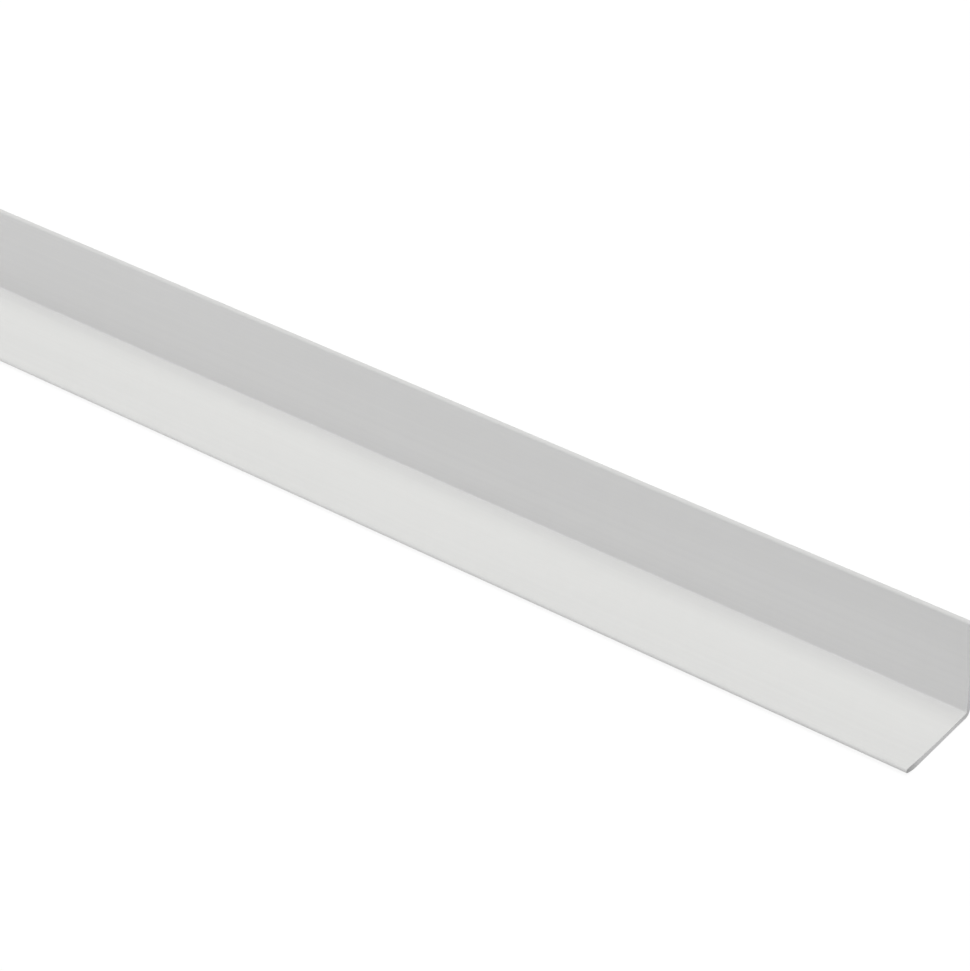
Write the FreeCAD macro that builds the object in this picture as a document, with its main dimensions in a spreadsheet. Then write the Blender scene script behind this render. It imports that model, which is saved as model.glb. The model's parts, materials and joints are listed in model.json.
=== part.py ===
# Corner guard moulding: a white PVC angle, extruded in one piece, with two equal legs.
# It lies on the outer face of one leg. X runs along the stock, the lying leg reaches towards -Y,
# the standing leg rises at +Y, and Z = 0 is the face that it lies on.
import FreeCAD
import Part
import Sketcher
import math
import os

# Driving dimensions, in millimetres
SIZES = {
    "stock_length": 1219.2,  # a sold length, 4 ft
    "leg_width": 28.6,  # each leg, from the outer face of the other leg to its free edge
    "wall": 1.5,  # thickness of both legs
    "heel_radius": 1.9,  # outside corner
    "crease_radius": 0.5,  # inside corner
    "lip_run": 18.0,  # from the free edge back to where the inner face starts to rise
    "lip_rise": 0.65,  # height of the lip's crest above the inner face
    "edge_run": 4.8,  # from the free edge back to where the outer face starts to turn in
    "edge_lift": 0.8,  # how far the outer face has turned in below the round nose
}

# Directions in the section's plane, anticlockwise from +X. The legs meet at a right angle,
# so the diagonal between them leaves the outside corner at 135 degrees
UP_DEGREES = 90
DIAGONAL_DEGREES = 135
DOWN_DEGREES = 270
CORNER_DEGREES = DIAGONAL_DEGREES + 180

# Sketcher's numbers for a curve's points, and for the sketch's origin and horizontal axis
START, END, CENTRE = range(1, 4)
ORIGIN = (-1, 1)
HORIZONTAL_AXIS = -1


def make_sheet(doc):
    """Spreadsheet with one named cell for each driving dimension."""
    sheet = doc.addObject("Spreadsheet::Sheet", "sizes")
    for row, (name, value) in enumerate(SIZES.items(), start=1):
        sheet.set(f"A{row}", name)
        sheet.set(f"B{row}", str(value))
        sheet.setAlias(f"B{row}", name)
    doc.recompute()
    return sheet


def arc(centre, radius, start_degrees, end_degrees):
    """Arc in the section's plane, turned anticlockwise from its start to its end."""
    circle = Part.Circle(FreeCAD.Vector(*centre, 0), FreeCAD.Vector(0, 0, 1), radius)
    return Part.ArcOfCircle(circle, math.radians(start_degrees), math.radians(end_degrees))


def line(start, end):
    return Part.LineSegment(FreeCAD.Vector(*start, 0), FreeCAD.Vector(*end, 0))


def sweep_radius(reach, height, nose_radius, rise):
    """Radius of the arc that leaves a flat face and runs smoothly into the nose.

    reach and height lead from the arc's start to the nose's centre, along the face and square to it.
    rise is how far the side of the nose that carries the face on stands off it.
    """
    return (reach**2 + height**2 - nose_radius**2) / (2 * rise)


def draw_curves(sketch, sheet):
    """Half of the section, the lying leg as far as the diagonal, drawn where its sizes put it.

    The origin is the sharp outside corner, and the leg reaches towards -X. The curves go round from the heel.
    """
    size = {name: sheet.get(name) for name in SIZES}
    wall = size["wall"]
    heel = size["heel_radius"]
    crease = size["crease_radius"]
    edge_x = size["edge_run"] - size["leg_width"]
    lip_x = size["lip_run"] - size["leg_width"]

    nose = (wall + size["lip_rise"] - size["edge_lift"]) / 2
    nose_centre = (nose - size["leg_width"], size["edge_lift"] + nose)
    edge_reach = size["edge_run"] - nose
    edge = sweep_radius(edge_reach, nose_centre[1], nose, size["edge_lift"])
    edge_turn = math.degrees(math.asin(edge_reach / (edge - nose)))
    lip_reach = size["lip_run"] - nose
    lip = sweep_radius(lip_reach, nose_centre[1] - wall, nose, size["lip_rise"])
    lip_turn = math.degrees(math.asin(lip_reach / (lip + nose)))

    heel_arc = arc((-heel, heel), heel, DOWN_DEGREES, CORNER_DEGREES)
    crease_arc = arc((-wall - crease, wall + crease), crease, DOWN_DEGREES, CORNER_DEGREES)
    curves = {
        "heel": heel_arc,
        "outer_face": line((-heel, 0), (edge_x, 0)),
        "edge": arc((edge_x, edge), edge, DOWN_DEGREES - edge_turn, DOWN_DEGREES),
        "nose": arc(nose_centre, nose, UP_DEGREES - lip_turn, DOWN_DEGREES - edge_turn),
        "lip": arc((lip_x, wall + lip), lip, DOWN_DEGREES - lip_turn, DOWN_DEGREES),
        "inner_face": line((lip_x, wall), (-wall - crease, wall)),
        "crease": crease_arc,
        "seam": Part.LineSegment(crease_arc.EndPoint, heel_arc.EndPoint),
        "diagonal": line((0, 0), (-size["leg_width"], size["leg_width"])),
    }
    number = {name: sketch.addGeometry(curve) for name, curve in curves.items()}
    sketch.setConstruction(number["diagonal"], True)
    return number


def join_curves(sketch, number):
    """Smooth joints all round, with both corners centred on the diagonal."""
    smooth_joints = [
        ("heel", START, "outer_face", START),
        ("outer_face", END, "edge", END),
        ("edge", START, "nose", END),
        ("nose", START, "lip", START),
        ("lip", END, "inner_face", START),
        ("inner_face", END, "crease", START),
    ]
    for first, first_point, second, second_point in smooth_joints:
        ends = (number[first], first_point, number[second], second_point)
        sketch.addConstraint(Sketcher.Constraint("Tangent", *ends))

    diagonal = number["diagonal"]
    sketch.addConstraint(Sketcher.Constraint("Coincident", diagonal, START, *ORIGIN))
    sketch.addConstraint(Sketcher.Constraint("Angle", diagonal, math.radians(DIAGONAL_DEGREES)))
    for corner, seam_point in (("heel", END), ("crease", START)):
        for point in (CENTRE, END):
            sketch.addConstraint(Sketcher.Constraint("PointOnObject", number[corner], point, diagonal))
        ends = (number[corner], END, number["seam"], seam_point)
        sketch.addConstraint(Sketcher.Constraint("Coincident", *ends))

    for face in ("outer_face", "inner_face"):
        sketch.addConstraint(Sketcher.Constraint("Horizontal", number[face]))
    outer_start = (number["outer_face"], START)
    sketch.addConstraint(Sketcher.Constraint("PointOnObject", *outer_start, HORIZONTAL_AXIS))


def measure(sketch, kind, first, first_point=CENTRE, second=None, second_point=None):
    """A curve's radius, or the distance between two points, as drawn."""
    if kind == "Radius":
        return sketch.Geometry[first].Radius
    gap = sketch.getPoint(second, second_point) - sketch.getPoint(first, first_point)
    return gap.x if kind == "DistanceX" else gap.y


def size_curves(sketch, number):
    """Each size in the section, bound to the sheet."""
    nose_radius = "(sizes.wall + sizes.lip_rise - sizes.edge_lift) / 2"
    across = "DistanceX"
    upwards = "DistanceY"
    sizes = [
        ("heel_radius", ("Radius", number["heel"]), "sizes.heel_radius"),
        ("crease_radius", ("Radius", number["crease"]), "sizes.crease_radius"),
        ("nose_radius", ("Radius", number["nose"]), nose_radius),
        ("wall", (upwards, *ORIGIN, number["inner_face"], END), "sizes.wall"),
        ("nose_height", (upwards, *ORIGIN, number["nose"], CENTRE), f"sizes.edge_lift + {nose_radius}"),
        ("nose_place", (across, number["nose"], CENTRE, *ORIGIN), f"sizes.leg_width - {nose_radius}"),
        ("edge_start", (across, number["edge"], END, *ORIGIN), "sizes.leg_width - sizes.edge_run"),
        ("lip_start", (across, number["lip"], END, *ORIGIN), "sizes.leg_width - sizes.lip_run"),
        ("diagonal_reach", (across, number["diagonal"], END, *ORIGIN), "sizes.leg_width"),
    ]
    for name, measured, expression in sizes:
        as_drawn = measure(sketch, *measured)
        constraint = sketch.addConstraint(Sketcher.Constraint(*measured, as_drawn))
        sketch.renameConstraint(constraint, name)
        sketch.setExpression(f"Constraints.{name}", expression)


def make_corner_guard(doc, sheet):
    """The lying leg is extruded to its length, and the standing leg is its mirror image in the diagonal."""
    body = doc.addObject("PartDesign::Body", "corner_guard")
    body.Label = "corner_guard"
    section_plane = next(plane for plane in body.Origin.OriginFeatures if plane.Role == "YZ_Plane")

    section = body.newObject("Sketcher::SketchObject", "half_section")
    section.AttachmentSupport = [(section_plane, "")]
    section.MapMode = "FlatFace"
    number = draw_curves(section, sheet)
    join_curves(section, number)
    size_curves(section, number)
    doc.recompute()

    leg = body.newObject("PartDesign::Pad", "lying_leg")
    leg.Profile = section
    leg.SideType = "Symmetric"
    leg.setExpression("Length", "sizes.stock_length")
    doc.recompute()

    both_legs = body.newObject("PartDesign::Mirrored", "standing_leg")
    both_legs.Originals = [leg]
    both_legs.MirrorPlane = (section, ["Axis0"])
    body.Tip = both_legs

    body.setExpression("Placement.Base.y", "sizes.leg_width / 2")
    return body


def check(doc, body):
    """Stop before anything is written if a feature failed or the solid isn't sound."""
    for item in doc.Objects:
        if "Invalid" in item.State or "Error" in item.State:
            raise RuntimeError(f"{item.Label} failed: {item.State}")
    if body.Shape.isNull() or not body.Shape.isValid() or len(body.Shape.Solids) != 1:
        raise RuntimeError(f"{body.Label} is not one sound solid")


def main():
    doc = FreeCAD.newDocument("corner_guard_moulding")
    sheet = make_sheet(doc)
    body = make_corner_guard(doc, sheet)
    doc.recompute()
    check(doc, body)
    os.makedirs("parts", exist_ok=True)
    body.Shape.exportStep(f"parts/{body.Label}.step")


main()
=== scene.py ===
"""Looks of the corner guard moulding: a white PVC angle with turned-in edges, sawn to length."""
import bpy
import json
import math
from mathutils import Matrix, Vector


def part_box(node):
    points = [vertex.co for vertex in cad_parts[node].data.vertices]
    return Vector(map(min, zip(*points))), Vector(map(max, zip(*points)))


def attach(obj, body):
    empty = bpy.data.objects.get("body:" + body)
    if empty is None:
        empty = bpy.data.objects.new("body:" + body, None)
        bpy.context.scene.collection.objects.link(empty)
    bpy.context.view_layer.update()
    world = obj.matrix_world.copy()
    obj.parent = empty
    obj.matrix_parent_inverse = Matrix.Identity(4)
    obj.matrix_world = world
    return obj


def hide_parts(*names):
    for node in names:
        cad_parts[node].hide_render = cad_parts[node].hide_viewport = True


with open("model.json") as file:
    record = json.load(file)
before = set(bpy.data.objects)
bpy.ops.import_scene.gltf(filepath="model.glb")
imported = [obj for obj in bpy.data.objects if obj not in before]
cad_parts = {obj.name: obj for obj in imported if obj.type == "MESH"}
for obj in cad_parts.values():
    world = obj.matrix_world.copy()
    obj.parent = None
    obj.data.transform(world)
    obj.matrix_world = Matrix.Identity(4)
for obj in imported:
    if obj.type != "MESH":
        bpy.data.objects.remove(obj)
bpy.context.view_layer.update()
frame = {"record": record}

# Sizes in metres. The frame gives the stock's length, its leg and its wall
low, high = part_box("corner_guard")
mounts = {mount["name"]: mount for mount in frame["record"]["mounts"]}
STOCK_LENGTH = high.x - low.x
LEG_WIDTH = high.z - low.z
WALL = mounts["lying_leg_seat"]["pos_m"][2]
HEEL_RADIUS = 0.0019
CREASE_RADIUS = 0.0005
LIP_RUN = 0.0180
LIP_RISE = 0.00065
EDGE_RUN = 0.0048
EDGE_LIFT = 0.0008
SAW_BURR = 0.00004

# Fineness of the mesh, with angles in degrees
ARC_STEPS = 10
NOSE_STEPS = 28
LENGTH_STEPS = 41
WELD_DISTANCE = 1e-7
END_FACING = 0.5  # Least share of X in the normal of a sawn end's face
BURR_SEGMENTS = 2
BURR_ANGLE = 60
SHARP_ANGLE = 50

# The photograph's frame, and where the near end's outside corner falls in it, in pixels
IMAGE_WIDTH = 970
IMAGE_HEIGHT = 971
HEEL_PIXEL = (969.59, 714.70)

# Camera, with its angles in degrees, its distance in metres and its sensor in millimetres
CAMERA_AZIMUTH = 38.032
CAMERA_ELEVATION = 35.536
CAMERA_ROLL = -0.826
CAMERA_DISTANCE = 0.8288
FOCAL_PIXELS = 3464.4
SENSOR_WIDTH = 36.0
CLIP_START = 0.01
CLIP_END = 100

# Patterns of the PVC. Widths, depths and places are in metres, and a stretch is along the stock
CLOUD_WIDTH = 0.012
CLOUD_STRETCH = 8.0
GRAIN_WIDTH = 0.0004
DIE_LINE_WIDTH = 0.0011
DIE_LINE_STRETCH = 400.0
DIE_LINE_DEPTH = 0.00002
# Painted shade darkens the free edges over the width below, where the skin is also rubbed rougher
SHADE_AND_RUB_WIDTH = 0.0012
SCUFF_WIDTH = 0.0006
SCUFF_STRETCH = 6.0
TOOTH_PITCH = 0.0007
TOOTH_DEPTH = 0.00006
TOOTH_WANDER = 2.5
BLADE_HUB = (-0.09, -0.09)
# Lengths from either tip and from the heel over which painted shade darkens the sawn ends
TIP_SHADE_REACH = 0.0060
HEEL_SHADE_REACH = 0.0060
WAVE_PERIOD = math.pi / 10  # Of a wave texture whose scale is 1

# Shares of the patterns in a finish. Noise is spread so that its low and high values are 0 and 1
NOISE_LOW = 0.3
NOISE_HIGH = 0.7
CLOUD_CHALK = 0.4
GRAIN_CHALK = 0.15
MARK_CHALK = 0.45
# Least share of the free edges' painted shade and rub, where scuffs thin them
LEAST_SHADE_AND_RUB = 0.4
# Share of the painted shade at the heel of a sawn end
HEEL_SHADE_SHARE = 0.45
SKIN_GRAIN_SHEEN = 0.3
SKIN_GRAIN_RELIEF = 0.2
SAWN_GRAIN_SHEEN = 0.4
SAWN_GRAIN_RELIEF = 0.5

# Gloss and colours of the PVC
PVC_SPECULAR = 0.3
SKIN_ROUGHNESS = (0.46, 0.56)
RUB_ROUGHNESS = 0.12
SAWN_ROUGHNESS = (0.62, 0.80)
SKIN_WHITE = (0.815, 0.815, 0.81)
SKIN_CHALK = (0.785, 0.785, 0.78)
# Painted shade on the free edges
PAINTED_EDGE_SHADE = (0.735, 0.735, 0.73)
SAWN_WHITE = (0.84, 0.84, 0.84)
SAWN_CHALK = (0.77, 0.77, 0.77)
# Painted shade towards the tips and the heel of the sawn ends
PAINTED_END_SHADE = (0.47, 0.47, 0.47)

# Floor and light. What the floor throws back fades between two places along the stock, in metres
FLOOR_REACH = 40.0
FLOOR_BOUNCE = 0.95
FADED_BOUNCE = 0.745
FADE_START = 0.38
FADE_END = 0.64
FLOOR_SHADOW = 0.15
FLOOR_GLOW = 0.88
FILL_COLOUR = (0.985, 0.98, 1.0)
FILL_STRENGTH = 0.492
LAMP_SPREAD = 30
OVERHEAD_COLOUR = (0.98, 1.0, 0.915)
OVERHEAD_STRENGTH = 0.755
OVERHEAD_ELEVATION = 90
FRONT_COLOUR = (0.985, 0.98, 1.0)
FRONT_STRENGTH = 0.61
FRONT_ELEVATION = 68


class Number:
    """A number in a node tree, so that formulas read as plain sums."""

    def __init__(self, tree, socket):
        self.tree = tree
        self.socket = socket

    def worked(self, operation, *others):
        """Result of a Math node that takes this number first."""
        node = self.tree.nodes.new("ShaderNodeMath")
        node.operation = operation
        for socket, value in zip(node.inputs, (self, *others)):
            feed(self.tree, value, socket)
        return Number(self.tree, node.outputs["Value"])

    def __add__(self, other):
        return self.worked("ADD", other)

    def __sub__(self, other):
        return self.worked("SUBTRACT", other)

    def __mul__(self, other):
        return self.worked("MULTIPLY", other)

    def __truediv__(self, other):
        return self.worked("DIVIDE", other)

    def __neg__(self):
        return self.worked("MULTIPLY", -1.0)

    def squared(self):
        return self.worked("POWER", 2.0)

    def arcsine(self):
        return self.worked("ARCSINE")

    def ramp(self, start, end, first=0.0, last=1.0):
        """first up to start, last from end on, and evenly between."""
        node = self.tree.nodes.new("ShaderNodeMapRange")
        values = {"Value": self, "From Min": start, "From Max": end, "To Min": first, "To Max": last}
        for name, value in values.items():
            feed(self.tree, value, node.inputs[name])
        return Number(self.tree, node.outputs["Result"])


def feed(tree, value, socket):
    """A formula's result or a socket goes into a socket by a link, and a plain value as it is."""
    if isinstance(value, Number):
        tree.links.new(value.socket, socket)
    elif isinstance(value, bpy.types.NodeSocket):
        tree.links.new(value, socket)
    else:
        socket.default_value = value


def place(tree, x, y):
    """A point in the section's plane."""
    node = tree.nodes.new("ShaderNodeCombineXYZ")
    feed(tree, x, node.inputs["X"])
    feed(tree, y, node.inputs["Y"])
    return node.outputs["Vector"]


def along_axes(tree, vector):
    """The X, Y and Z of a vector."""
    split = tree.nodes.new("ShaderNodeSeparateXYZ")
    tree.links.new(vector, split.inputs["Vector"])
    return [Number(tree, split.outputs[axis]) for axis in "XYZ"]


def section_arc(tree, centre, radius, start, sweep, steps):
    """The points of one round stretch of the section, in order."""
    arc = tree.nodes.new("GeometryNodeCurveArc")
    arc.mode = "RADIUS"
    feed(tree, steps, arc.inputs["Resolution"])
    feed(tree, radius, arc.inputs["Radius"])
    feed(tree, start, arc.inputs["Start Angle"])
    feed(tree, sweep, arc.inputs["Sweep Angle"])
    move = tree.nodes.new("GeometryNodeTransform")
    tree.links.new(arc.outputs["Curve"], move.inputs["Geometry"])
    feed(tree, place(tree, *centre), move.inputs["Translation"])
    points = tree.nodes.new("GeometryNodeCurveToPoints")
    points.mode = "EVALUATED"
    tree.links.new(move.outputs["Geometry"], points.inputs["Curve"])
    return points.outputs["Points"]


def in_order(tree, parts):
    """Several lots of points as one, first to last. The join takes its newest link first."""
    join = tree.nodes.new("GeometryNodeJoinGeometry")
    for part in reversed(parts):
        tree.links.new(part, join.inputs["Geometry"])
    return join.outputs["Geometry"]


def half_section(tree, inputs):
    """The lying leg's half of the section, as points from the heel round the nose to the crease."""
    leg = Number(tree, inputs["Leg Width"])
    wall = Number(tree, inputs["Wall"])
    heel = Number(tree, inputs["Heel Radius"])
    crease = Number(tree, inputs["Crease Radius"])
    lip_run = Number(tree, inputs["Lip Run"])
    lip_rise = Number(tree, inputs["Lip Rise"])
    edge_run = Number(tree, inputs["Edge Run"])
    edge_lift = Number(tree, inputs["Edge Lift"])
    arc_steps = inputs["Arc Steps"]
    nose_steps = inputs["Nose Steps"]

    # The nose is tangent to the arc of the lip inside and to that of the turned-in edge outside
    nose = (wall + lip_rise - edge_lift) / 2.0
    nose_height = edge_lift + nose
    edge_reach = edge_run - nose
    edge = (edge_reach.squared() + nose_height.squared() - nose.squared()) / (edge_lift * 2.0)
    edge_turn = (edge_reach / (edge - nose)).arcsine()
    lip_reach = lip_run - nose
    lip_height = nose_height - wall
    lip = (lip_reach.squared() + lip_height.squared() - nose.squared()) / (lip_rise * 2.0)
    lip_turn = (lip_reach / (lip + nose)).arcsine()
    down = math.radians(270)
    half_corner = math.radians(45)
    corner = wall + crease
    return in_order(tree, [
        section_arc(tree, (-heel, heel), heel, down + half_corner, -half_corner, arc_steps),
        section_arc(tree, (edge_run - leg, edge), edge, down, -edge_turn, arc_steps),
        section_arc(tree, (nose - leg, nose_height), nose, -edge_turn + down,
                    edge_turn - lip_turn - math.pi, nose_steps),
        section_arc(tree, (lip_run - leg, wall + lip), lip, -lip_turn + down, lip_turn, arc_steps),
        section_arc(tree, (-corner, corner), crease, down, half_corner, arc_steps),
    ])


def whole_section(tree, half):
    """Closed outline of the half and its mirror image in the diagonal, taken in the other order."""
    position = tree.nodes.new("GeometryNodeInputPosition")
    across, upwards, _ = along_axes(tree, position.outputs["Position"])
    mirror = tree.nodes.new("GeometryNodeSetPosition")
    tree.links.new(half, mirror.inputs["Geometry"])
    tree.links.new(place(tree, -upwards, -across), mirror.inputs["Position"])
    index = tree.nodes.new("GeometryNodeInputIndex")
    numbered = []
    for points, direction in ((half, 1.0), (mirror.outputs["Geometry"], -1.0)):
        store = tree.nodes.new("GeometryNodeStoreNamedAttribute")
        store.data_type = "FLOAT"
        store.inputs["Name"].default_value = "order"
        tree.links.new(points, store.inputs["Geometry"])
        feed(tree, Number(tree, index.outputs["Index"]) * direction, store.inputs["Value"])
        numbered.append(store.outputs["Geometry"])
    order = tree.nodes.new("GeometryNodeInputNamedAttribute")
    order.data_type = "FLOAT"
    order.inputs["Name"].default_value = "order"
    loop = tree.nodes.new("GeometryNodePointsToCurves")
    tree.links.new(in_order(tree, numbered), loop.inputs["Points"])
    tree.links.new(order.outputs["Attribute"], loop.inputs["Weight"])
    closed = tree.nodes.new("GeometryNodeSetSplineCyclic")
    closed.inputs["Cyclic"].default_value = True
    tree.links.new(loop.outputs["Curves"], closed.inputs["Geometry"])
    return closed.outputs["Geometry"]


def sweep_section(tree, section, inputs):
    """The section swept along the stock and capped at its two ends."""
    leg = Number(tree, inputs["Leg Width"])
    stock = Number(tree, inputs["Stock Length"])

    # A sweep along +X turns its profile half round, so the section is turned to meet it
    upright = tree.nodes.new("GeometryNodeTransform")
    upright.inputs["Rotation"].default_value = (0, 0, math.pi)
    feed(tree, place(tree, leg / -2.0, 0.0), upright.inputs["Translation"])
    tree.links.new(section, upright.inputs["Geometry"])
    line = tree.nodes.new("GeometryNodeCurvePrimitiveLine")
    feed(tree, place(tree, stock / -2.0, 0.0), line.inputs["Start"])
    feed(tree, place(tree, stock / 2.0, 0.0), line.inputs["End"])
    stations = tree.nodes.new("GeometryNodeResampleCurve")
    tree.links.new(line.outputs["Curve"], stations.inputs["Curve"])
    tree.links.new(inputs["Length Steps"], stations.inputs["Count"])
    sweep = tree.nodes.new("GeometryNodeCurveToMesh")
    sweep.inputs["Fill Caps"].default_value = True
    tree.links.new(stations.outputs["Curve"], sweep.inputs["Curve"])
    tree.links.new(upright.outputs["Geometry"], sweep.inputs["Profile Curve"])
    weld = tree.nodes.new("GeometryNodeMergeByDistance")
    weld.inputs["Distance"].default_value = WELD_DISTANCE
    tree.links.new(sweep.outputs["Mesh"], weld.inputs["Geometry"])
    return weld.outputs["Geometry"]


def dress(tree, mesh, inputs):
    """Skin all over, and the sawn finish where a face looks along the stock."""
    realize = tree.nodes.new("GeometryNodeRealizeInstances")
    tree.links.new(mesh, realize.inputs["Geometry"])
    skin = tree.nodes.new("GeometryNodeSetMaterial")
    tree.links.new(realize.outputs["Geometry"], skin.inputs["Geometry"])
    tree.links.new(inputs["Skin"], skin.inputs["Material"])
    normal = tree.nodes.new("GeometryNodeInputNormal")
    facing, _, _ = along_axes(tree, normal.outputs["Normal"])
    sawn = tree.nodes.new("GeometryNodeSetMaterial")
    tree.links.new(skin.outputs["Geometry"], sawn.inputs["Geometry"])
    tree.links.new(inputs["Sawn End"], sawn.inputs["Material"])
    feed(tree, facing.worked("ABSOLUTE").worked("GREATER_THAN", END_FACING), sawn.inputs["Selection"])
    return sawn.outputs["Geometry"]


def moulding_tree(values):
    """Tree that extrudes the angle, with an input for each of the named values."""
    tree = bpy.data.node_groups.new("extruded_angle", "GeometryNodeTree")
    kinds = {float: "Float", int: "Int", bpy.types.Material: "Material"}
    for name, value in values.items():
        tree.interface.new_socket(name, in_out="INPUT", socket_type=f"NodeSocket{kinds[type(value)]}")
    tree.interface.new_socket("Geometry", in_out="OUTPUT", socket_type="NodeSocketGeometry")
    inputs = tree.nodes.new("NodeGroupInput").outputs
    section = whole_section(tree, half_section(tree, inputs))
    mesh = sweep_section(tree, section, inputs)
    output = tree.nodes.new("NodeGroupOutput")
    tree.links.new(dress(tree, mesh, inputs), output.inputs["Geometry"])
    return tree


def add_object(name, data):
    """New object in the scene, at the origin."""
    item = bpy.data.objects.new(name, data)
    bpy.context.scene.collection.objects.link(item)
    return item


def settle(piece, modifier):
    """Keeps what the modifier makes of the piece as its mesh, and takes the modifier off."""
    depsgraph = bpy.context.evaluated_depsgraph_get()
    piece.data = bpy.data.meshes.new_from_object(piece.evaluated_get(depsgraph))
    piece.modifiers.remove(modifier)


def make_moulding(skin, sawn_end):
    """The whole piece, with a burr-sized bevel round its saw cuts and flat faces that shade flat."""
    values = {
        "Stock Length": STOCK_LENGTH, "Leg Width": LEG_WIDTH, "Wall": WALL,
        "Heel Radius": HEEL_RADIUS, "Crease Radius": CREASE_RADIUS,
        "Lip Run": LIP_RUN, "Lip Rise": LIP_RISE, "Edge Run": EDGE_RUN, "Edge Lift": EDGE_LIFT,
        "Arc Steps": ARC_STEPS, "Nose Steps": NOSE_STEPS, "Length Steps": LENGTH_STEPS,
        "Skin": skin, "Sawn End": sawn_end,
    }
    piece = add_object("moulding", bpy.data.meshes.new("moulding"))
    extrusion = piece.modifiers.new("extrusion", "NODES")
    extrusion.node_group = moulding_tree(values)
    for item in extrusion.node_group.interface.items_tree:
        if item.in_out == "INPUT":
            extrusion[item.identifier] = values[item.name]
    settle(piece, extrusion)

    burr = piece.modifiers.new("burr", "BEVEL")
    burr.width = SAW_BURR
    burr.segments = BURR_SEGMENTS
    burr.limit_method = "ANGLE"
    burr.angle_limit = math.radians(BURR_ANGLE)
    settle(piece, burr)
    piece.data.shade_smooth()
    piece.data.set_sharp_from_angle(angle=math.radians(SHARP_ANGLE))
    weighted = piece.modifiers.new("flat_faces", "WEIGHTED_NORMAL")
    weighted.keep_sharp = True
    settle(piece, weighted)
    return piece


def on_stock(tree, stretch=1.0, centre=(0.0, 0.0, 0.0)):
    """Places in the object's own frame, for a pattern drawn out along the stock or centred off it."""
    coordinates = tree.nodes.new("ShaderNodeTexCoord")
    mapping = tree.nodes.new("ShaderNodeMapping")
    mapping.inputs["Location"].default_value = [-along for along in centre]
    mapping.inputs["Scale"].default_value = (1.0 / stretch, 1.0, 1.0)
    tree.links.new(coordinates.outputs["Object"], mapping.inputs["Vector"])
    return mapping.outputs["Vector"]


def noise(tree, where, patch, detail):
    """Soft random pattern from 0 to 1, with patches about as wide as the given length."""
    node = tree.nodes.new("ShaderNodeTexNoise")
    node.inputs["Scale"].default_value = 1.0 / patch
    node.inputs["Detail"].default_value = detail
    tree.links.new(where, node.inputs["Vector"])
    return Number(tree, node.outputs["Fac"]).ramp(NOISE_LOW, NOISE_HIGH)


def blend(tree, share, first, second):
    """One colour where the share is 0, and the other where it is 1."""
    node = tree.nodes.new("ShaderNodeMix")
    node.data_type = "RGBA"
    sockets = [socket for socket in node.inputs if socket.enabled]
    for value, socket in zip((share, first, second), sockets):
        feed(tree, value, socket)
    return next(socket for socket in node.outputs if socket.enabled)


def shader_group(name, inputs, outputs):
    """Empty group of shader nodes, with its input and output sockets."""
    group = bpy.data.node_groups.new(name, "ShaderNodeTree")
    for socket, kind in inputs.items():
        group.interface.new_socket(socket, in_out="INPUT", socket_type=f"NodeSocket{kind}")
    for socket, kind in outputs.items():
        group.interface.new_socket(socket, in_out="OUTPUT", socket_type=f"NodeSocket{kind}")
    return group, group.nodes.new("NodeGroupInput").outputs, group.nodes.new("NodeGroupOutput").inputs


def chalky_pvc_group():
    """White PVC and the chalk in it: clouds along the stock, a fine grain, and what its marks hold."""
    group, inputs, outputs = shader_group(
        "chalky_pvc",
        {"White": "Color", "Chalk": "Color", "Marks": "Float"},
        {"Colour": "Color", "Grain": "Float"},
    )
    clouds = noise(group, on_stock(group, stretch=CLOUD_STRETCH), CLOUD_WIDTH, detail=3.0)
    grain = noise(group, on_stock(group), GRAIN_WIDTH, detail=2.0)
    marks = Number(group, inputs["Marks"])
    chalk = clouds * CLOUD_CHALK + grain * GRAIN_CHALK + marks * MARK_CHALK
    feed(group, blend(group, chalk, inputs["White"], inputs["Chalk"]), outputs["Colour"])
    feed(group, grain, outputs["Grain"])
    return group


def free_edge_group():
    """Mask that goes from 0 to 1 between two lengths along either leg, measured from the heel."""
    group, inputs, outputs = shader_group(
        "free_edge", {"Start": "Float", "End": "Float"}, {"Mask": "Float"})
    _, across, upwards = along_axes(group, on_stock(group))
    from_heel = (-across + LEG_WIDTH / 2).worked("MAXIMUM", upwards)
    feed(group, from_heel.ramp(inputs["Start"], inputs["End"]), outputs["Mask"])
    return group


def use_group(tree, group, **values):
    """Outputs of a group in a tree, with its inputs set by name."""
    node = tree.nodes.new("ShaderNodeGroup")
    node.node_tree = group
    for name, value in values.items():
        feed(tree, value, node.inputs[name])
    return node.outputs


def finish_pvc(material, colour, roughness, height, relief):
    """Joins a finish to the material's shader. relief is the depth of its surface, in metres."""
    tree = material.node_tree
    shader = tree.nodes["Principled BSDF"]
    shader.inputs["Specular IOR Level"].default_value = PVC_SPECULAR
    feed(tree, colour, shader.inputs["Base Color"])
    feed(tree, roughness, shader.inputs["Roughness"])
    bump = tree.nodes.new("ShaderNodeBump")
    bump.inputs["Distance"].default_value = relief
    feed(tree, height, bump.inputs["Height"])
    tree.links.new(bump.outputs["Normal"], shader.inputs["Normal"])


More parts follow.
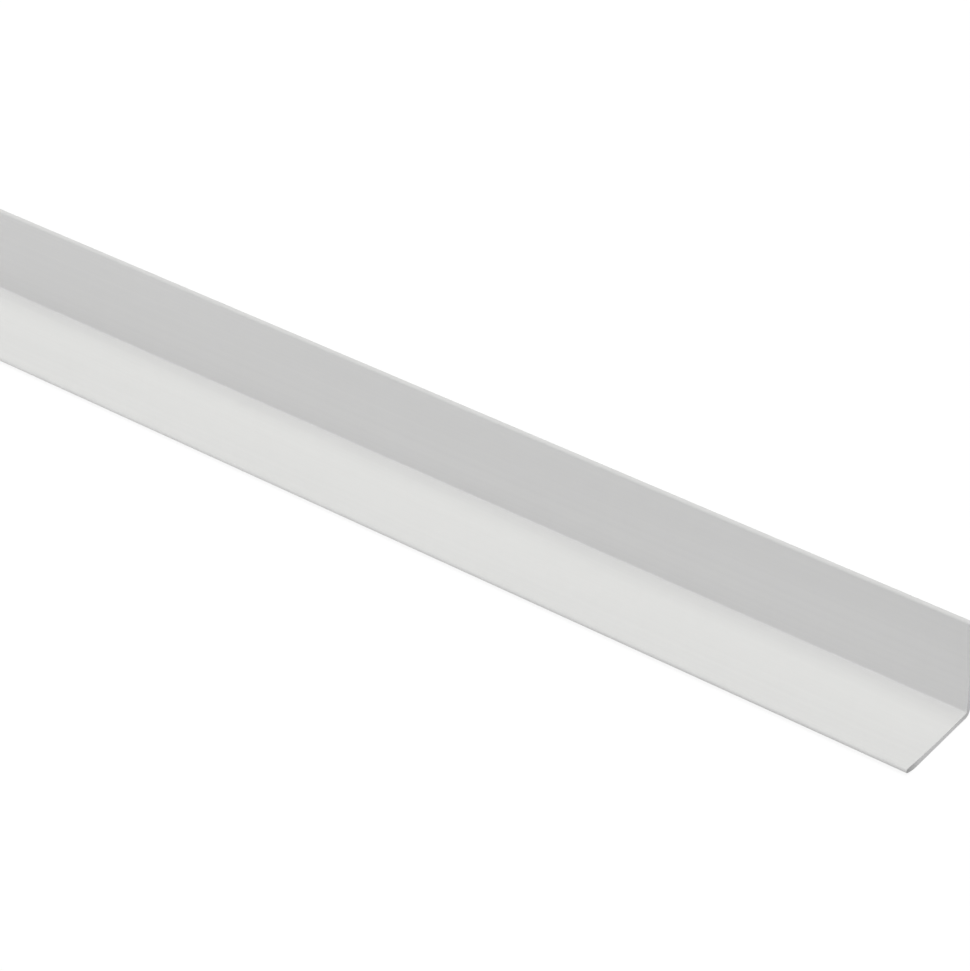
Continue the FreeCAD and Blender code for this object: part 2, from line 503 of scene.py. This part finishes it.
def satin_pvc_skin(chalky_pvc, free_edge):
    """Skin from the die: fine lines along the stock, and painted shade and a rougher rub on the free edges.
    """
    material = bpy.data.materials.new("satin_pvc_skin")
    material.use_nodes = True
    tree = material.node_tree
    lines = noise(tree, on_stock(tree, stretch=DIE_LINE_STRETCH), DIE_LINE_WIDTH, detail=3.0)
    compound = use_group(tree, chalky_pvc, White=(*SKIN_WHITE, 1), Chalk=(*SKIN_CHALK, 1), Marks=lines)
    grain = Number(tree, compound["Grain"])
    # Painted shade darkens the free edges, thinned by scuffs; the same mask makes them rougher
    edge = Number(tree, use_group(tree, free_edge, Start=LEG_WIDTH - SHADE_AND_RUB_WIDTH, End=LEG_WIDTH)["Mask"])
    scuffs = noise(tree, on_stock(tree, stretch=SCUFF_STRETCH), SCUFF_WIDTH, detail=4.0)
    edge_shade_and_rub = edge * scuffs.ramp(0.0, 1.0, LEAST_SHADE_AND_RUB, 1.0)
    sheen = lines * (1 - SKIN_GRAIN_SHEEN) + grain * SKIN_GRAIN_SHEEN
    finish_pvc(
        material,
        colour=blend(tree, edge_shade_and_rub, compound["Colour"], (*PAINTED_EDGE_SHADE, 1)),
        roughness=sheen.ramp(0.0, 1.0, *SKIN_ROUGHNESS) + edge_shade_and_rub * RUB_ROUGHNESS,
        height=lines + grain * SKIN_GRAIN_RELIEF,
        relief=DIE_LINE_DEPTH,
    )
    return material


def sawn_pvc_end(chalky_pvc, free_edge):
    """Cut end: arcs left by the blade's teeth, and painted shade that darkens it towards the tips and the
    heel.
    """
    material = bpy.data.materials.new("sawn_pvc_end")
    material.use_nodes = True
    tree = material.node_tree
    teeth = tree.nodes.new("ShaderNodeTexWave")
    teeth.wave_type = "RINGS"
    teeth.rings_direction = "X"
    teeth.inputs["Scale"].default_value = WAVE_PERIOD / TOOTH_PITCH
    teeth.inputs["Distortion"].default_value = TOOTH_WANDER
    teeth.inputs["Detail"].default_value = 3.0
    tree.links.new(on_stock(tree, centre=(0.0, *BLADE_HUB)), teeth.inputs["Vector"])
    grooves = Number(tree, teeth.outputs["Fac"])
    compound = use_group(tree, chalky_pvc, White=(*SAWN_WHITE, 1), Chalk=(*SAWN_CHALK, 1), Marks=grooves)
    grain = Number(tree, compound["Grain"])
    # Painted shade darkens the sawn end towards both tips and the heel
    at_tips = Number(tree, use_group(tree, free_edge, Start=LEG_WIDTH - TIP_SHADE_REACH, End=LEG_WIDTH)["Mask"])
    at_heel = Number(tree, use_group(tree, free_edge, Start=HEEL_SHADE_REACH, End=0.0)["Mask"])
    end_shade = at_tips + at_heel * HEEL_SHADE_SHARE
    sheen = grooves * (1 - SAWN_GRAIN_SHEEN) + grain * SAWN_GRAIN_SHEEN
    finish_pvc(
        material,
        colour=blend(tree, end_shade, compound["Colour"], (*PAINTED_END_SHADE, 1)),
        roughness=sheen.ramp(0.0, 1.0, *SAWN_ROUGHNESS),
        height=grooves + grain * SAWN_GRAIN_RELIEF,
        relief=TOOTH_DEPTH,
    )
    return material


def make_camera():
    """Camera at the photograph's angle, with the near end's outside corner on its pixel."""
    azimuth = math.radians(CAMERA_AZIMUTH)
    elevation = math.radians(CAMERA_ELEVATION)
    back = Vector((
        math.sin(azimuth) * math.cos(elevation),
        -math.cos(azimuth) * math.cos(elevation),
        math.sin(elevation),
    ))
    right = Vector((math.cos(azimuth), math.sin(azimuth), 0))
    up = back.cross(right)
    turn = Matrix((right, up, back)).transposed() @ Matrix.Rotation(math.radians(CAMERA_ROLL), 3, "Z")
    heel = Vector((high.x, high.y, low.z))
    across = (HEEL_PIXEL[0] - IMAGE_WIDTH / 2) / FOCAL_PIXELS
    upwards = (IMAGE_HEIGHT / 2 - HEEL_PIXEL[1]) / FOCAL_PIXELS
    to_heel = turn @ Vector((across, upwards, -1)) * CAMERA_DISTANCE
    data = bpy.data.cameras.new("camera")
    data.sensor_width = SENSOR_WIDTH
    data.lens = FOCAL_PIXELS * SENSOR_WIDTH / max(IMAGE_WIDTH, IMAGE_HEIGHT)
    data.clip_start = CLIP_START
    data.clip_end = CLIP_END
    camera = add_object("camera", data)
    camera.matrix_world = Matrix.Translation(heel - to_heel) @ turn.to_4x4()
    bpy.context.scene.camera = camera


def join_stage(tree, output, lights, shows):
    """Ends a stage's tree: one shader lights surfaces, the other is what is seen, also in a reflection."""
    path = tree.nodes.new("ShaderNodeLightPath").outputs
    seen = Number(tree, path["Is Camera Ray"])
    for ray in ("Is Glossy Ray", "Is Transmission Ray"):
        seen = seen.worked("MAXIMUM", path[ray])
    pick = tree.nodes.new("ShaderNodeMixShader")
    feed(tree, seen, pick.inputs["Fac"])
    tree.links.new(lights, pick.inputs[1])
    tree.links.new(shows, pick.inputs[2])
    tree.links.new(pick.outputs["Shader"], tree.nodes.new(output).inputs["Surface"])


def make_floor():
    """Wide pale floor that shows white, with the stock's soft shadow on it."""
    corners = [(-FLOOR_REACH, -FLOOR_REACH), (FLOOR_REACH, -FLOOR_REACH),
               (FLOOR_REACH, FLOOR_REACH), (-FLOOR_REACH, FLOOR_REACH)]
    mesh = bpy.data.meshes.new("floor")
    mesh.from_pydata([(x, y, 0) for x, y in corners], [], [range(4)])
    floor = add_object("floor", mesh)

    material = bpy.data.materials.new("white_floor")
    material.use_nodes = True
    tree = material.node_tree
    tree.nodes.clear()
    bounce = tree.nodes.new("ShaderNodeBsdfDiffuse")
    along, _, _ = along_axes(tree, on_stock(tree))
    feed(tree, along.ramp(FADE_START, FADE_END, FLOOR_BOUNCE, FADED_BOUNCE), bounce.inputs["Color"])
    shadow = tree.nodes.new("ShaderNodeBsdfDiffuse")
    shadow.inputs["Color"].default_value = (FLOOR_SHADOW, FLOOR_SHADOW, FLOOR_SHADOW, 1)
    glow = tree.nodes.new("ShaderNodeEmission")
    glow.inputs["Strength"].default_value = FLOOR_GLOW
    white = tree.nodes.new("ShaderNodeAddShader")
    tree.links.new(shadow.outputs["BSDF"], white.inputs[0])
    tree.links.new(glow.outputs["Emission"], white.inputs[1])
    join_stage(
        tree, "ShaderNodeOutputMaterial", lights=bounce.outputs["BSDF"], shows=white.outputs["Shader"])
    mesh.materials.append(material)


def make_world():
    """Even light from all round, which shows white."""
    world = bpy.data.worlds.new("studio")
    bpy.context.scene.world = world
    world.use_nodes = True
    tree = world.node_tree
    tree.nodes.clear()
    fill = tree.nodes.new("ShaderNodeBackground")
    fill.inputs["Color"].default_value = (*FILL_COLOUR, 1)
    fill.inputs["Strength"].default_value = FILL_STRENGTH
    white = tree.nodes.new("ShaderNodeBackground")
    white.inputs["Color"].default_value = (1, 1, 1, 1)
    white.inputs["Strength"].default_value = 1
    join_stage(
        tree, "ShaderNodeOutputWorld", lights=fill.outputs["Background"], shows=white.outputs["Background"])


def make_lamp(name, colour, strength, elevation):
    """Broad soft lamp at an elevation in degrees, from 0 level with the front to 90 overhead."""
    light = bpy.data.lights.new(name, "SUN")
    light.color = colour
    light.energy = strength
    light.angle = math.radians(LAMP_SPREAD)
    lamp = add_object(name, light)
    lamp.rotation_euler = (math.radians(90 - elevation), 0, 0)


chalky_pvc = chalky_pvc_group()
free_edge = free_edge_group()
moulding = make_moulding(satin_pvc_skin(chalky_pvc, free_edge), sawn_pvc_end(chalky_pvc, free_edge))
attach(moulding, "root")
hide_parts("corner_guard")
make_camera()
make_floor()
make_world()
make_lamp("overhead", OVERHEAD_COLOUR, OVERHEAD_STRENGTH, OVERHEAD_ELEVATION)
make_lamp("front", FRONT_COLOUR, FRONT_STRENGTH, FRONT_ELEVATION)
bpy.context.scene.view_settings.view_transform = "Standard"
